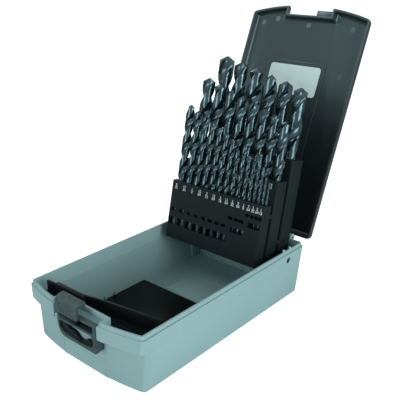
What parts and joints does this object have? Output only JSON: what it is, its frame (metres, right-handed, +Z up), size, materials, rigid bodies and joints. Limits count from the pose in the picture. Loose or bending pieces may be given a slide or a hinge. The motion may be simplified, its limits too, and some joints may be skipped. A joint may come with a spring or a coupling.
{
  "type": "drill bit case",
  "caption": "Hinged plastic case for twist drills: deep tray, shallow lid, a stand that tips up with the lid, and a sliding latch at the front",
  "frame": {"origin": "centre of the flat bottom of the tray, on the ground", "axes": "+X to the right seen from the latch, +Y from the latch to the hinge, +Z up"},
  "size_m": [0.111, 0.2743, 0.2134],
  "materials": {
    "tray_plastic": "fine grained pale blue-grey polypropylene",
    "lid_plastic": "fine grained charcoal polypropylene",
    "latch_plastic": "grained dark grey",
    "spring_plastic": "smooth black",
    "insert_plastic": "smooth black, slightly glossy",
    "stand_plastic": "satin black",
    "pin_steel": "drawn steel",
    "label": "white film",
    "black_oxide": "black oxide, oiled"
  },
  "bodies": {
    "tray": {"base_tray": "tray_plastic", "hinge_pins": "pin_steel", "latch_frame": "latch_plastic", "latch_spring": "spring_plastic", "tip_guard": "insert_plastic", "floor_plate": "insert_plastic"},
    "lid": {"lid": "lid_plastic", "lid_label": "label"},
    "stand": {"stand_front_tier": "stand_plastic", "stand_middle_tier": "stand_plastic", "stand_back_tier": "stand_plastic", "stand_tie_pins": "stand_plastic", "stand_pivots": "stand_plastic", "drill_1_16": "black_oxide", "drill_5_64": "black_oxide", "drill_3_32": "black_oxide", "drill_7_64": "black_oxide", "drill_1_8": "black_oxide", "drill_9_64": "black_oxide", "drill_5_32": "black_oxide", "drill_11_64": "black_oxide", "drill_3_16": "black_oxide", "drill_13_64": "black_oxide", "drill_7_32": "black_oxide", "drill_15_64": "black_oxide", "drill_1_4": "black_oxide", "drill_17_64": "black_oxide", "drill_9_32": "black_oxide", "drill_19_64": "black_oxide", "drill_5_16": "black_oxide", "drill_21_64": "black_oxide", "drill_11_32": "black_oxide", "drill_23_64": "black_oxide", "drill_3_8": "black_oxide", "drill_25_64": "black_oxide", "drill_13_32": "black_oxide", "drill_27_64": "black_oxide", "drill_7_16": "black_oxide", "drill_29_64": "black_oxide", "drill_15_32": "black_oxide", "drill_31_64": "black_oxide", "drill_1_2": "black_oxide"},
    "slider": {"latch_slider": "latch_plastic"}
  },
  "joints": [
    {"name": "stand_fold", "type": "hinge", "parent": "tray", "child": "stand", "pos_m": [0, 0.0676, 0.0355], "axis": [1, 0, 0], "range_deg": [0, 102]},
    {"name": "lid_hinge", "type": "hinge", "parent": "tray", "child": "lid", "pos_m": [0, 0.0924, 0.0422], "axis": [1, 0, 0], "range_deg": [0, 113]},
    {"name": "latch_slide", "type": "slide", "parent": "tray", "child": "slider", "axis": [1, 0, 0], "range_m": [0, 0.014]}
  ],
  "couplings": [
    {"joint": "lid_hinge", "follows": "stand_fold", "ratio": 1.1078}
  ]
}
